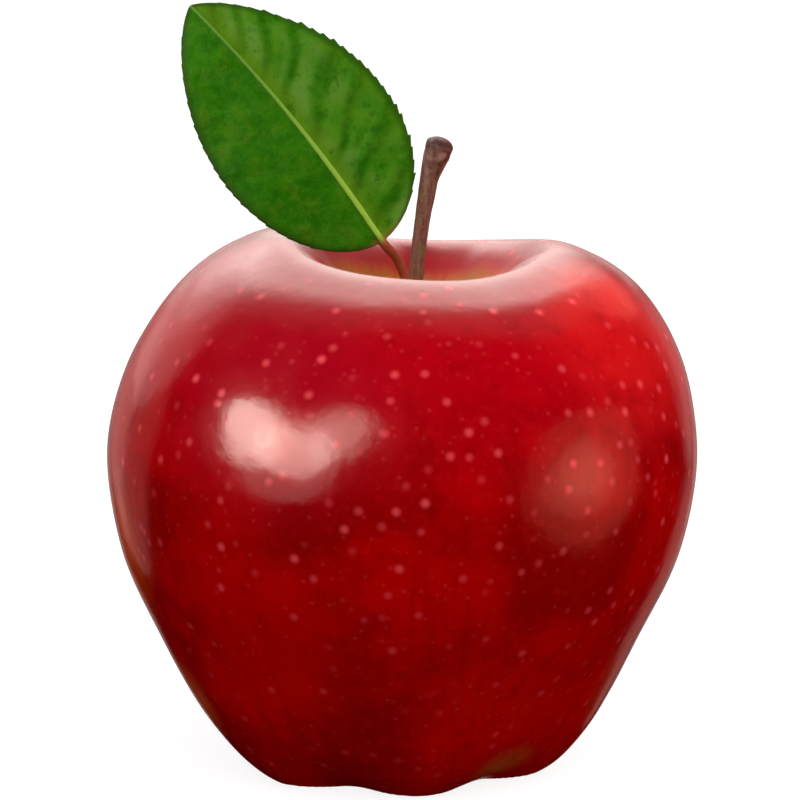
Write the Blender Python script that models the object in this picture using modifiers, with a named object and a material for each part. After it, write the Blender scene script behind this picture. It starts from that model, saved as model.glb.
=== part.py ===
"""A whole red dessert apple with its woody stem, one leaf and the dried flower remains underneath.

The apple stands on its five blunt lobes at z = 0, with its core line on the Z axis, and its front is
the side that faces -Y. Everything is in metres.
"""

import math

import bmesh
import bpy
import numpy as np
from mathutils import Matrix, Vector

MM = 0.001

# ---- Driving dimensions ---------------------------------------------------------------------
WIDTH = 76 * MM  # across the widest part of the fruit
HEIGHT = 67.9 * MM  # from the table to the mean height of the shoulder
LEAF_LENGTH = 39.0 * MM
LEAF_WIDTH = 23.7 * MM
LEAF_THICKNESS = 0.5 * MM
PETIOLE_RADIUS = 0.6 * MM
GAP = 0.3 * MM  # kept between neighbouring pieces
WELD = 0.01 * MM  # points closer than this become one

SIDES = 54  # facets round the fruit
RINGS = 42  # facets along its profile

# The half section, as (share of the half width, share of the height), from the floor of the stem
# cavity over the shoulder, down the outside, over a foot and up into the calyx basin.
PROFILE = [
    (0.070, 0.838),
    (0.200, 0.880),
    (0.325, 0.948),
    (0.450, 0.994),
    (0.620, 0.970),
    (0.818, 0.882),
    (0.953, 0.750),
    (1.003, 0.612),
    (0.962, 0.438),
    (0.826, 0.262),
    (0.672, 0.108),
    (0.500, 0.032),
    (0.385, 0.014),
    (0.255, 0.050),
    (0.130, 0.096),
    (0.000, 0.106),
]
# A narrow socket in the cavity's floor, in which the stem stands.
SOCKET_RADIUS = 1.9 * MM
SOCKET_DEPTH = 2.2 * MM
SOCKET_OPENS = 0.3 * MM  # how much wider it is at its mouth than at its floor

# The five lobes: direction in degrees from the front (-Y) towards +X, and how far each reaches down.
LOBES = [
    (9, 2.0 * MM),
    (71, 2.2 * MM),
    (150, 2.2 * MM),
    (-129, 2.2 * MM),
    (-50, 2.2 * MM),
]
LOBE_SHARPNESS = 12.0
RIB_AT_FOOT = 1.8 * MM  # how far a lobe's rib stands out from the furrows beside it
RIB_AT_SHOULDER = 0.7 * MM
RIB_MEAN = 0.6  # a rib's mean strength round the fruit, so that the ribs don't widen it
RIB_FADE = 1.5  # how fast the ribs fade upwards from the foot

# Heights at which the foot's ribs and its reach have run out, at which the shoulder's shape starts
# and is full, and above which the core line leans to +X.
FOOT_RIBS_END = 0.38 * HEIGHT
REACH_END = 0.16 * HEIGHT
SHOULDER_FROM = 0.45 * HEIGHT
SHOULDER_FULL = 0.95 * HEIGHT
LEAN_TURN = 0.6 * HEIGHT
# Up to the first of these distances from the core line the fruit stays evenly round, and past the
# second it is as uneven as it gets.
CORE_ROUND = 0.05 * WIDTH
CORE_END = 0.17 * WIDTH

# The shoulder is higher at the left and right than at the front and back, and highest at the left.
SADDLE = 1.5 * MM
FRONT_FLAT = 0.1  # how much it is lowered beside the front, which makes the front's dip wide
LEFT_RISE = 0.9 * MM
# The core line leans: the top is further towards +X than the base.
LEAN_TOP = 1.6 * MM
LEAN_BASE = -0.6 * MM

RED = (0.40, 0.004, 0.008)
BARK = (0.12, 0.05, 0.03)
LEAF_GREEN = (0.04, 0.16, 0.01)
DRY_BROWN = (0.10, 0.06, 0.03)


# ---- Small tools ----------------------------------------------------------------------------
def clear_scene():
    for obj in list(bpy.data.objects):
        bpy.data.objects.remove(obj)


def new_collection(name):
    collection = bpy.data.collections.new(name)
    bpy.context.scene.collection.children.link(collection)
    return collection


def material(name, colour, roughness):
    made = bpy.data.materials.new(name)
    made.use_nodes = True
    shader = made.node_tree.nodes["Principled BSDF"]
    shader.inputs["Base Color"].default_value = (*colour, 1.0)
    shader.inputs["Roughness"].default_value = roughness
    return made


def add_object(name, data, collection, finish):
    obj = bpy.data.objects.new(name, data)
    if finish.name not in data.materials:
        data.materials.append(finish)
    collection.objects.link(obj)
    return obj


def evaluated_mesh(obj):
    """The object's mesh with its modifiers applied, as a new mesh."""
    bpy.context.view_layer.update()
    graph = bpy.context.evaluated_depsgraph_get()
    return bpy.data.meshes.new_from_object(obj.evaluated_get(graph), depsgraph=graph)


def smooth_curve(points, count, steps=40):
    """count points, evenly spaced along a smooth curve through the given ones, which is first worked
    out at that many steps for each of them."""
    knots = np.array(points, float)
    chord = np.linalg.norm(np.diff(knots, axis=0), axis=1)
    at = np.concatenate([[0], np.cumsum(chord)])
    slope = np.gradient(knots, at, axis=0)
    fine = np.linspace(0, at[-1], steps * len(knots))
    i = np.clip(np.searchsorted(at, fine, side="right") - 1, 0, len(chord) - 1)
    h = chord[i][:, None]
    t = ((fine - at[i]) / chord[i])[:, None]
    curve = (
        (2 * t**3 - 3 * t**2 + 1) * knots[i]
        + (t**3 - 2 * t**2 + t) * h * slope[i]
        + (3 * t**2 - 2 * t**3) * knots[i + 1]
        + (t**3 - t**2) * h * slope[i + 1]
    )
    along = np.concatenate([[0], np.cumsum(np.linalg.norm(np.diff(curve, axis=0), axis=1))])
    even = np.linspace(0, along[-1], count)
    return np.stack([np.interp(even, along, curve[:, k]) for k in range(curve.shape[1])], axis=1)


def smoothstep(low, high, value):
    t = np.clip((value - low) / (high - low), 0, 1)
    return t * t * (3 - 2 * t)


# ---- Fruit ----------------------------------------------------------------------------------
def lobe_fields(angle):
    """How strongly the lobes show at an angle from the front: (rib, 0 to 1, and reach down, metres)."""
    rib = np.zeros_like(angle)
    reach = np.zeros_like(angle)
    for direction, drop in LOBES:
        bump = np.exp(LOBE_SHARPNESS * (np.cos(angle - math.radians(direction)) - 1))
        rib += bump
        reach += drop * bump
    return rib, reach


def grown(points):
    """Moves the points of the turned fruit to where the real, uneven fruit has them."""
    x, y, z = points.T
    radius = np.hypot(x, y)
    angle = np.arctan2(x, -y)  # from the front towards +X
    rib, reach = lobe_fields(angle)

    near_base = 1 - smoothstep(0.0, FOOT_RIBS_END, z)
    near_top = smoothstep(SHOULDER_FROM, SHOULDER_FULL, z)
    off_core = smoothstep(CORE_ROUND, CORE_END, radius)

    ribbed = RIB_AT_FOOT * near_base**RIB_FADE + RIB_AT_SHOULDER * near_top
    radius_now = radius + ribbed * (rib - RIB_MEAN) * off_core
    foot = (1 - smoothstep(0.0, REACH_END, z)) * off_core
    z_now = z - reach * foot

    beside_front = (1 - np.cos(4 * angle)) * (1 + np.cos(angle))
    sideways = -np.cos(2 * angle) - FRONT_FLAT * beside_front
    z_now += (SADDLE * sideways - LEFT_RISE * np.sin(angle)) * near_top * off_core
    lean = LEAN_BASE * (1 - smoothstep(0.0, LEAN_TURN, z))
    lean += LEAN_TOP * smoothstep(LEAN_TURN, HEIGHT, z)
    x_now = radius_now * np.sin(angle) + lean
    y_now = -radius_now * np.cos(angle)
    return np.stack([x_now, y_now, np.maximum(z_now, 0.0)], axis=1)


def make_fruit(collection):
    outline = smooth_curve(PROFILE, RINGS) * [WIDTH / 2, HEIGHT]
    floor = outline[0, 1]
    socket = [
        (0, floor - SOCKET_DEPTH),
        (SOCKET_RADIUS - SOCKET_OPENS, floor - SOCKET_DEPTH),
        (SOCKET_RADIUS, floor - SOCKET_OPENS),
    ]
    section = np.concatenate([socket, outline])
    mesh = bpy.data.meshes.new("fruit_section")
    edges = [(i, i + 1) for i in range(len(section) - 1)]
    mesh.from_pydata([(r, 0, z) for r, z in section], edges, [])
    turned = bpy.data.objects.new("fruit_turned", mesh)
    collection.objects.link(turned)

    screw = turned.modifiers.new("Turn", "SCREW")
    screw.steps = screw.render_steps = SIDES
    screw.use_merge_vertices = True
    screw.merge_threshold = WELD
    solid = evaluated_mesh(turned)
    bpy.data.objects.remove(turned)

    points = np.array([v.co for v in solid.vertices])
    solid.vertices.foreach_set("co", grown(points).astype(np.float32).ravel())
    solid.update()
    solid.shade_smooth()
    solid.name = "fruit"
    add_object("fruit", solid, collection, material("red_skin", RED, roughness=0.25))


# ---- Stem -----------------------------------------------------------------------------------
STEM_ROUTE = [  # x, y, z and radius in millimetres, from the socket to the swollen end
    (0.82, 0.0, 55.3, 1.30),
    (1.05, 0.0, 58.6, 1.15),
    (1.70, 0.0, 63.4, 1.00),
    (2.25, -0.1, 68.6, 0.95),
    (2.95, -0.3, 73.6, 1.05),
    (3.80, -0.5, 77.8, 1.35),
    (4.45, -0.8, 79.8, 1.70),
    (4.80, -0.95, 80.9, 1.78),
]
STEM_POINTS = 22  # along the route


def tube(name, route, count, collection, finish, resolution=2):
    """A closed tube of count points along a smooth curve through (x, y, z, radius) points."""
    curve = bpy.data.curves.new(name, "CURVE")
    curve.dimensions = "3D"
    curve.bevel_depth = 1.0
    curve.bevel_resolution = resolution
    curve.use_fill_caps = True
    spline = curve.splines.new("POLY")
    along = smooth_curve(route, count)
    spline.points.add(len(along) - 1)
    for point, (x, y, z, radius) in zip(spline.points, along):
        point.co = (x, y, z, 1)
        point.radius = radius
    draft = bpy.data.objects.new(name + "_curve", curve)
    collection.objects.link(draft)
    solid = evaluated_mesh(draft)
    bpy.data.objects.remove(draft)
    bm = bmesh.new()
    bm.from_mesh(solid)
    bmesh.ops.remove_doubles(bm, verts=bm.verts, dist=WELD)
    bmesh.ops.recalc_face_normals(bm, faces=bm.faces)
    bm.to_mesh(solid)
    bm.free()
    solid.shade_smooth()
    solid.name = name
    return add_object(name, solid, collection, finish)


def make_stem(collection):
    route = np.array(STEM_ROUTE) * MM
    finish = material("brown_bark", BARK, roughness=0.6)
    tube("stem", route, STEM_POINTS, collection, finish, resolution=3)


# ---- Leaf -----------------------------------------------------------------------------------
# The blade stands over the left shoulder with its upper face to the front.
LEAF_BASE = Vector((-2.5, -5.2, 69.1)) * MM
LEAF_ALONG = Vector((-0.63, 0.19, 0.752)).normalized()
LEAF_FACE = Vector((0.03, -0.94, 0.34))
LEAF_BOW = 1.6 * MM  # the midrib bows towards the front
LEAF_SWEEP = 0.8 * MM  # and sideways, towards the stem
STEM_HALF = (0.50, 0.75)  # how bluntly the half towards the stem starts and ends
OUTER_HALF = (0.62, 0.78)
LEAF_FOLD = 0.10  # the two halves slope back from the midrib
LEAF_ROWS = 18
LEAF_COLUMNS = 8
TIP_WELD = 0.02 * MM  # closes the blade's two pointed ends
PETIOLE_ROUTE = [(0.9, -2.4, 60.2), (0.6, -2.6, 63.0), (-0.5, -3.3, 66.4)]  # millimetres, up to the blade
MIDRIB_SHARES = (0.0, 0.12, 0.3, 0.5, 0.68, 0.82)  # where the midrib's route goes on along the blade
MIDRIB_TAPER = 0.55  # how much thinner it would be at the blade's tip
MIDRIB_POINTS = 26


def blade_half_width(u, shape):
    """The half width at the share u of the way from the blade's base to its tip."""
    start, end = shape
    widest = start / (start + end)
    peak = widest**start * (1 - widest) ** end
    return LEAF_WIDTH / 2 * u**start * (1 - u) ** end / peak


def leaf_axes():
    across = LEAF_ALONG.cross(LEAF_FACE).normalized()
    return LEAF_ALONG, across, across.cross(LEAF_ALONG)


def blade_point(u, v):
    """A point of the blade's middle surface: u runs from base to tip, v from -1 to 1 across it."""
    along, across, face = leaf_axes()
    side = blade_half_width(u, STEM_HALF if v > 0 else OUTER_HALF) * v
    arch = 4 * u * (1 - u)
    height = LEAF_BOW * arch - LEAF_FOLD * (math.hypot(side, MM) - MM)
    return LEAF_BASE + along * (LEAF_LENGTH * u) + across * (side + LEAF_SWEEP * arch) + face * height


def make_leaf(collection):
    finish = material("green_leaf", LEAF_GREEN, roughness=0.4)
    bm = bmesh.new()
    bmesh.ops.create_grid(bm, x_segments=LEAF_ROWS, y_segments=LEAF_COLUMNS, size=1.0)
    for vert in bm.verts:
        share = (vert.co.x + 1) / 2
        u = (1 - math.cos(math.pi * share)) / 2  # closer rows at the base and the tip
        vert.co = blade_point(u, vert.co.y)
    bmesh.ops.remove_doubles(bm, verts=bm.verts, dist=TIP_WELD)
    mesh = bpy.data.meshes.new("leaf")
    bm.to_mesh(mesh)
    bm.free()
    leaf = add_object("leaf", mesh, collection, finish)
    thicken = leaf.modifiers.new("Thicken", "SOLIDIFY")
    thicken.thickness = LEAF_THICKNESS
    thicken.offset = 0

    route = [(*(Vector(p) * MM), PETIOLE_RADIUS) for p in PETIOLE_ROUTE]
    for u in MIDRIB_SHARES:
        route.append((*blade_point(u, 0.0), PETIOLE_RADIUS * (1 - MIDRIB_TAPER * u)))
    midrib = tube("midrib", route, MIDRIB_POINTS, collection, finish)
    join = leaf.modifiers.new("Join midrib", "BOOLEAN")
    join.operation = "UNION"
    join.object = midrib
    joined = evaluated_mesh(leaf)
    bpy.data.objects.remove(midrib)
    leaf.modifiers.clear()
    leaf.data = joined
    joined.name = "leaf"


# ---- Dried flower remains in the basin ------------------------------------------------------
SEPAL_COUNT = 5
SEPAL_FIRST = 20  # direction of the first one in degrees, from +X towards +Y
SEPAL_WIDTH = 2.5 * MM
SEPAL_THICKNESS = 0.4 * MM
SEPAL_DROP = 4.3 * MM  # how far it hangs down
SEPAL_FOOT = 2.9 * MM  # distance of its foot from the core line
SEPAL_BELOW_ROOF = 0.45 * MM  # distance of its foot from the gap under the basin's roof
SEPAL_BEND_IN = 1.35 * MM  # how far it bends in over its length
SEPAL_BEND_RATE = 2.6  # radians of a sine that the bend follows
SEPAL_TURN_OUT = 1.1 * MM  # how far its tip then turns out
SEPAL_POINTED = (0.6, 0.35)  # how quickly it narrows to its tip, as a power and as a share
SEPAL_TIP = 0.12 * MM  # half its width at the tip
SEPAL_CUP = 0.5  # how deeply it is hollowed, as a share of its half width

BUTTON_DEPTH = 0.6 * MM
BUTTON_RADII = (0.9 * MM, 1.1 * MM)  # at its lower and its upper end
STAMEN_COUNT = 6
STAMEN_RING = 0.6 * MM  # distance of a filament's foot from the core line
STAMEN_SPREAD = 1.25  # how much further out its tip is
STAMEN_ROOT = 0.2 * MM  # how deep its foot is in the button
STAMEN_REACH = (2.1 * MM, 2.4 * MM, 2.7 * MM)  # how far the tips hang down, in turn
STAMEN_RADII = (0.20 * MM, 0.16 * MM, 0.24 * MM)  # at the foot, the middle and the tip
STAMEN_POINTS = 5


def basin_height():
    return PROFILE[-1][1] * HEIGHT


def sepal_mesh():
    """One dried sepal in its own frame: it stands at SEPAL_FOOT, hangs down and turns out at its tip."""
    bm = bmesh.new()
    bmesh.ops.create_grid(bm, x_segments=5, y_segments=2, size=1.0)
    for vert in bm.verts:
        u = (vert.co.x + 1) / 2
        power, share = SEPAL_POINTED
        half = SEPAL_WIDTH / 2 * (1 - u) ** power * (1 - share * u) + SEPAL_TIP
        side = half * vert.co.y
        cup = SEPAL_CUP * side**2 / half
        bend = SEPAL_TURN_OUT * u**3 - SEPAL_BEND_IN * math.sin(SEPAL_BEND_RATE * u)
        vert.co = (SEPAL_FOOT + bend - cup, side, -SEPAL_DROP * u)
    mesh = bpy.data.meshes.new("sepal")
    bm.to_mesh(mesh)
    bm.free()
    return mesh


def make_sepals(collection):
    finish = material("dried_sepal", DRY_BROWN, roughness=0.8)
    mesh = sepal_mesh()
    top = basin_height() - GAP - SEPAL_BELOW_ROOF
    for i in range(SEPAL_COUNT):
        sepal = add_object(f"sepal_{i + 1}", mesh, collection, finish)
        sepal.location = (LEAN_BASE, 0, top)
        sepal.rotation_euler = (0, 0, math.radians(SEPAL_FIRST + 360 / SEPAL_COUNT * i))
        thicken = sepal.modifiers.new("Thicken", "SOLIDIFY")
        thicken.thickness = SEPAL_THICKNESS
        thicken.offset = 0


def make_stamens(collection):
    """The withered stamens: short filaments on one small button, between the sepals."""
    finish = material("withered_stamen", DRY_BROWN, roughness=0.9)
    centre = Vector((LEAN_BASE, 0, basin_height() - GAP))
    down = Vector((0, 0, -1))
    low_radius, high_radius = BUTTON_RADII
    bm = bmesh.new()
    bmesh.ops.create_cone(
        bm,
        cap_ends=True,
        segments=12,
        radius1=low_radius,
        radius2=high_radius,
        depth=BUTTON_DEPTH,
        matrix=Matrix.Translation(centre + down * BUTTON_DEPTH / 2),
    )
    mesh = bpy.data.meshes.new("stamens")
    bm.to_mesh(mesh)
    bm.free()
    stamens = add_object("stamens", mesh, collection, finish)
    for i in range(STAMEN_COUNT):
        turn = math.radians(360 / STAMEN_COUNT * i)
        foot = Vector((math.cos(turn), math.sin(turn), 0)) * STAMEN_RING
        tip = foot * STAMEN_SPREAD + down * STAMEN_REACH[i % len(STAMEN_REACH)]
        places = [foot + down * STAMEN_ROOT, (foot + tip) / 2, tip]
        route = [(*(centre + place), radius) for place, radius in zip(places, STAMEN_RADII)]
        filament = tube(f"filament_{i}", route, STAMEN_POINTS, collection, finish)
        join = stamens.modifiers.new("Join", "BOOLEAN")
        join.operation = "UNION"
        join.object = filament
        joined = evaluated_mesh(stamens)
        bpy.data.objects.remove(filament)
        stamens.modifiers.clear()
        stamens.data = joined
    stamens.data.name = "stamens"


def main():
    clear_scene()
    apple = new_collection("apple")
    make_fruit(apple)
    make_stem(apple)
    make_leaf(apple)
    make_sepals(apple)
    make_stamens(apple)


main()
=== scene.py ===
# %% [markdown]
# # A red apple with its stem and one leaf
#
# The imported model gives the true sizes and places: an apple on its five lobes, a woody stem in its
# cavity, a leaf over its left shoulder, and the dried flower remains underneath. Everything below
# gives those nine pieces the surface of the real ones. The model is loaded first and its box is kept,
# and the camera is aimed by it.

# %% Load the imported model
import math

import bpy
import numpy as np
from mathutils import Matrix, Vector, noise


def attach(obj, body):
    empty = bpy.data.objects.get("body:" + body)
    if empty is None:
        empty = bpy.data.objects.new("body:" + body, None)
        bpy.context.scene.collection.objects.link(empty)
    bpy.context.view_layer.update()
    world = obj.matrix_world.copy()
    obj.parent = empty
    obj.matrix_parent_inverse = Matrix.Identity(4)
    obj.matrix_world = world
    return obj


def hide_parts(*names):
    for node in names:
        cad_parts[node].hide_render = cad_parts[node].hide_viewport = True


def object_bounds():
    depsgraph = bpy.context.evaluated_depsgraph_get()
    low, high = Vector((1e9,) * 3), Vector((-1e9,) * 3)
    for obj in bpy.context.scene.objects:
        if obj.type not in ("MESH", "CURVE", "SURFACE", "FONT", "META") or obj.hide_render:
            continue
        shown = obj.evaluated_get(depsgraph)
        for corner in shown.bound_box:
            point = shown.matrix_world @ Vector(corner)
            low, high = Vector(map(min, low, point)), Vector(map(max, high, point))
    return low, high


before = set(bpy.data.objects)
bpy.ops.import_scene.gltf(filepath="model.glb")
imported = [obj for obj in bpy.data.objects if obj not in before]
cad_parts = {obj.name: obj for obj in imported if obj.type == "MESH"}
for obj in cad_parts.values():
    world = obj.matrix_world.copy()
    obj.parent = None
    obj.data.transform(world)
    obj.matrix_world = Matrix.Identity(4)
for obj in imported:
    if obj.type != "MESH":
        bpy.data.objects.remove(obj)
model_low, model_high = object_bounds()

MM = 0.001
print("model is", [round(side / MM, 1) for side in model_high - model_low], "mm")

# %% [markdown]
# ## Camera
#
# The apple is seen from ten degrees above the table through a long lens, which keeps its outline
# nearly free of perspective. A long lens could also be had by moving a normal one back and cropping,
# but then the picture would hold less detail. The camera looks a little below the middle of the whole
# thing, because the fruit, not the leaf, carries the picture.

# %% The camera
VIEW_ELEVATION = math.radians(10)
VIEW_DISTANCE = 574.2 * MM
LENS = 200.0  # millimetres
AIM_OFF_MIDDLE = Vector((-0.3, 0.0, -1.7)) * MM
aim = (model_low + model_high) / 2 + AIM_OFF_MIDDLE

camera_data = bpy.data.cameras.new("long_lens")
camera_data.lens = LENS
camera = bpy.data.objects.new("camera", camera_data)
bpy.context.scene.collection.objects.link(camera)
towards_viewer = Vector((0, -math.cos(VIEW_ELEVATION), math.sin(VIEW_ELEVATION)))
camera.location = Vector((aim.x, 0, aim.z)) + towards_viewer * VIEW_DISTANCE
camera.rotation_mode = "QUATERNION"
camera.rotation_quaternion = (-towards_viewer).to_track_quat("-Z", "Y")
bpy.context.scene.camera = camera
bpy.context.scene.view_settings.view_transform = "Standard"
print("camera is", round(VIEW_DISTANCE / MM), "mm away")

# %% [markdown]
# ## Colour and node helpers
#
# Colours are chosen as the sRGB hex values that a colour picker shows, while shaders work in linear
# light, so one function turns the one into the other. A second small function adds a node with its
# settings, its values and its links in one call, which keeps each material short enough to read.


# %% Colours and nodes
def linear(code):
    """The linear RGBA of an sRGB hex colour such as '#9f0102'."""
    parts = [int(code[i : i + 2], 16) / 255 for i in (1, 3, 5)]
    return (*[p / 12.92 if p <= 0.04045 else ((p + 0.055) / 1.055) ** 2.4 for p in parts], 1.0)


def add(tree, kind, inputs=None, **settings):
    """Adds a node of this kind. Each input is given a value, or a socket to be linked to."""
    made = tree.nodes.new("ShaderNode" + kind)
    for name, value in settings.items():
        setattr(made, name, value)
    for name, value in (inputs or {}).items():
        if isinstance(value, bpy.types.NodeSocket):
            tree.links.new(value, made.inputs[name])
        else:
            made.inputs[name].default_value = value
    return made


def new_material(name, roughness, ior):
    """A material with a Principled shader, which is returned with its node tree."""
    made = bpy.data.materials.new(name)
    made.use_nodes = True
    shader = made.node_tree.nodes["Principled BSDF"]
    shader.inputs["Roughness"].default_value = roughness
    shader.inputs["IOR"].default_value = ior
    return made, made.node_tree, shader


print("mid grey #808080 is", round(linear("#808080")[0], 3), "in linear light")

# %% [markdown]
# A natural surface is many thin colours, each laid over the last where some pattern lets it show. One
# function turns patterns into that share, and another lays the colour by it.


# %% Laying one colour over another
def fade(tree, *steps):
    """The product of the steps. A step is a socket, or (socket, low, high, least, most), which runs
    smoothly from least to most as the socket goes from low to high. Left out, those are 0 and 1."""
    product = None
    for step in steps:
        if isinstance(step, tuple):
            value, low, high, least, most = (*step, 0.0, 1.0)[:5]
            inputs = {"Value": value, "From Min": low, "From Max": high, "To Min": least, "To Max": most}
            step = add(tree, "MapRange", inputs, interpolation_type="SMOOTHSTEP").outputs["Result"]
        if product is None:
            product = step
        else:
            product = add(tree, "Math", {0: product, 1: step}, operation="MULTIPLY").outputs[0]
    return product


def lay(tree, below, colour, *steps):
    """The colour below with another one laid over it, as strongly as the steps say. Both are hex
    colours or sockets."""
    two = [linear(one) if isinstance(one, str) else one for one in (below, colour)]
    inputs = {0: fade(tree, *steps), 6: two[0], 7: two[1]}
    return add(tree, "Mix", inputs, data_type="RGBA").outputs[2]


def millimetres(tree):
    """The place on the piece, in millimetres."""
    place = add(tree, "TexCoord").outputs["Object"]
    return add(tree, "VectorMath", {0: place, "Scale": 1 / MM}, operation="SCALE").outputs[0]


print("a metre is", 1 / MM, "mm")

# %% [markdown]
# ## The table
#
# The apple stands on a plain white disc, whose far edge shows only as a pale band from very low down.
# It shines by itself, as a table lit from below does, which keeps it pale however the lamps are set.
# Only the camera sees it: light bounced up from it would wash out the deep red of the underside.

# %% The white sweep
TABLE_RADIUS = 3.0
TABLE_GLOW = 0.88

bpy.ops.mesh.primitive_circle_add(vertices=96, radius=TABLE_RADIUS, fill_type="NGON")
table = bpy.context.object
table.name = "white_sweep"

sweep, tree, shader = new_material("lit_white_acrylic", roughness=0.8, ior=1.49)
shader.inputs["Base Color"].default_value = linear("#8c8c8c")
shader.inputs["Emission Color"].default_value = linear("#ffffff")
shader.inputs["Emission Strength"].default_value = TABLE_GLOW
shader.inputs["Specular IOR Level"].default_value = 0.0
table.data.materials.append(sweep)
table.visible_diffuse = False
table.visible_glossy = False
table.visible_shadow = False
print("table is", 2 * TABLE_RADIUS, "m across")

# %% [markdown]
# ## Light
#
# A studio lights a waxed fruit with large soft panels, because each one is mirrored in the skin: its
# size and place decide where the fruit shows a bright shape. Two kinds are used. Some only brighten
# the colour. They are kept out of reflections and out of multiple importance sampling, through which
# they would still grey the deep reds. The others are only mirrored, so that the shapes on the skin
# can be set without changing its colour.
#
# Directions are given round the apple from the front, with plus towards its right, and up from the
# horizon. A panel's glow is its brightness beside white.


# %% A soft panel
PANEL_DISTANCE = 1.2
lit_point = Vector((0, 0, model_high.z * 0.45))


def panel(name, around, up, wide, high, glow, colour="#ffffff", mirrored=True):
    """A soft oval panel in that direction, wide and high in degrees as the apple sees it."""
    data = bpy.data.lights.new(name, "AREA")
    data.shape = "ELLIPSE"
    data.size = 2 * PANEL_DISTANCE * math.tan(math.radians(wide / 2))
    data.size_y = 2 * PANEL_DISTANCE * math.tan(math.radians(high / 2))
    data.energy = glow * math.pi * (math.pi / 4 * data.size * data.size_y)
    data.color = linear(colour)[:3]
    data.cycles.use_multiple_importance_sampling = mirrored
    lamp = bpy.data.objects.new(name, data)
    a, e = math.radians(around), math.radians(up)
    out = Vector((math.sin(a) * math.cos(e), -math.cos(a) * math.cos(e), math.sin(e)))
    lamp.location = lit_point + out * PANEL_DISTANCE
    lamp.rotation_mode = "QUATERNION"
    lamp.rotation_quaternion = out.to_track_quat("Z", "Y")
    lamp.visible_camera = False
    lamp.visible_glossy = mirrored
    lamp.visible_diffuse = not mirrored
    bpy.context.scene.collection.objects.link(lamp)


print("panels are", PANEL_DISTANCE, "m from the apple")

# %% [markdown]
# The colour comes from one strong panel above the right shoulder and five weak ones all round.

# %% Panels that bring out the colour
panel("key_upper_right", 20, 56, 80, 64, 2.30, mirrored=False)
panel("fill_front", -16, 4, 90, 50, 0.46, mirrored=False)
panel("fill_left", -100, 24, 80, 70, 0.74, mirrored=False)
panel("fill_right", 98, 8, 80, 70, 0.72, mirrored=False)
panel("fill_behind", 180, 34, 90, 70, 0.62, mirrored=False)
panel("fill_below", 0, -70, 90, 90, 0.30, mirrored=False)
print(len(bpy.data.lights), "panels")

# %% [markdown]
# Two bright windows at the left, with a lower one between them, melt into one highlight. A window of
# one brightness would have a hard outline, so each stands inside a weaker and wider glow. A warm panel
# at the right is nested in the same way and gives a second, dim and rosy highlight.

# %% Windows
panel("window_left", -63, 26, 22, 20, 9.0, "#fff0e0")
panel("window_left_glow", -61, 25, 29, 27, 7.0, "#ffeee0")
panel("window_right", -29, 30, 18, 20, 6.5, "#ffeee0")
panel("window_right_glow", -29, 30, 24, 29, 3.0, "#ffeadc")
panel("window_foot", -44, 20, 28, 22, 8.0, "#ffeee0")
panel("window_foot_glow", -44, 12, 36, 36, 1.7, "#ffe8dc")
panel("warm_right", 73, 1, 20, 16, 1.5, "#ffb698")
panel("warm_right_middle", 72, -2, 34, 28, 1.4, "#ffa68a")
panel("warm_right_glow", 74, -3, 52, 50, 1.0, "#ff9a80")
print(len(bpy.data.lights), "panels so far")

# %% [markdown]
# A pale canopy behind and above the apple is mirrored along the shoulder, where the skin is seen at a
# glancing angle. It makes the milky band round the cavity, which fades down the front and the left.

# %% A canopy behind
panel("canopy_behind", -177, 50, 44, 38, 2.2, "#fff4ec")
panel("canopy_behind_middle", -176, 45, 50, 46, 1.6, "#fff4ec")
panel("canopy_behind_glow", -174, 42, 60, 58, 1.1, "#fff4ec")
panel("canopy_low", 178, 22, 26, 14, 1.0, "#fff4ec")
panel("canopy_above", 176, 72, 70, 36, 0.34, "#fff0ec")
panel("canopy_left", -146, 34, 32, 30, 1.1, "#fff0ee")
panel("canopy_left_glow", -140, 28, 48, 52, 0.7, "#ffdedc")
panel("backdrop", -178, 12, 46, 22, 0.8, "#fff4ec")
print(len(bpy.data.lights), "panels so far")

# %% [markdown]
# The last panels stand behind the apple. The skin mirrors them only near its edge, as a thin pink rim
# that lifts the fruit off the white.

# %% Edges
panel("edge_left", -148, 10, 28, 56, 0.42, "#ffb8b0")
panel("edge_left_glow", -134, 8, 44, 64, 0.36, "#ffb8b0")
panel("edge_right", 152, -6, 22, 48, 0.36, "#ffb0a8")
panel("edge_right_glow", 145, 12, 28, 44, 0.40, "#ffa8a8")
panel("ember_right", 143, 36, 28, 28, 2.7, "#ff7a6c")
panel("silhouette", 180, -6, 44, 40, 0.36, "#ffd8d4")
print(len(bpy.data.lights), "panels in all")

# %% [markdown]
# Round the panels, the room is white to the camera and dark to everything else, as in a studio hung
# with black cloth.

# %% The room
room = bpy.data.worlds.new("studio")
room.use_nodes = True
tree = room.node_tree
tree.nodes.clear()
ray = add(tree, "LightPath")
walls = add(tree, "Background", {"Color": linear("#ffffff"), "Strength": ray.outputs["Is Camera Ray"]})
add(tree, "OutputWorld", {"Surface": walls.outputs[0]})
bpy.context.scene.world = room
room.cycles.sampling_method = "NONE"
print("the room has", len(tree.nodes), "nodes")

# %% [markdown]
# ## The shape of the fruit
#
# An apple is nearly a turned shape: a half section goes round the core. It could be sculpted from a
# sphere, but a section gives the cavity, the shoulder, the foot and the basin in one smooth line that
# can be read and changed. The turned points are then moved as a real fruit grows unevenly: five lobes
# with furrows between them, a shoulder that is higher at the sides, and a core that leans.


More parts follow.
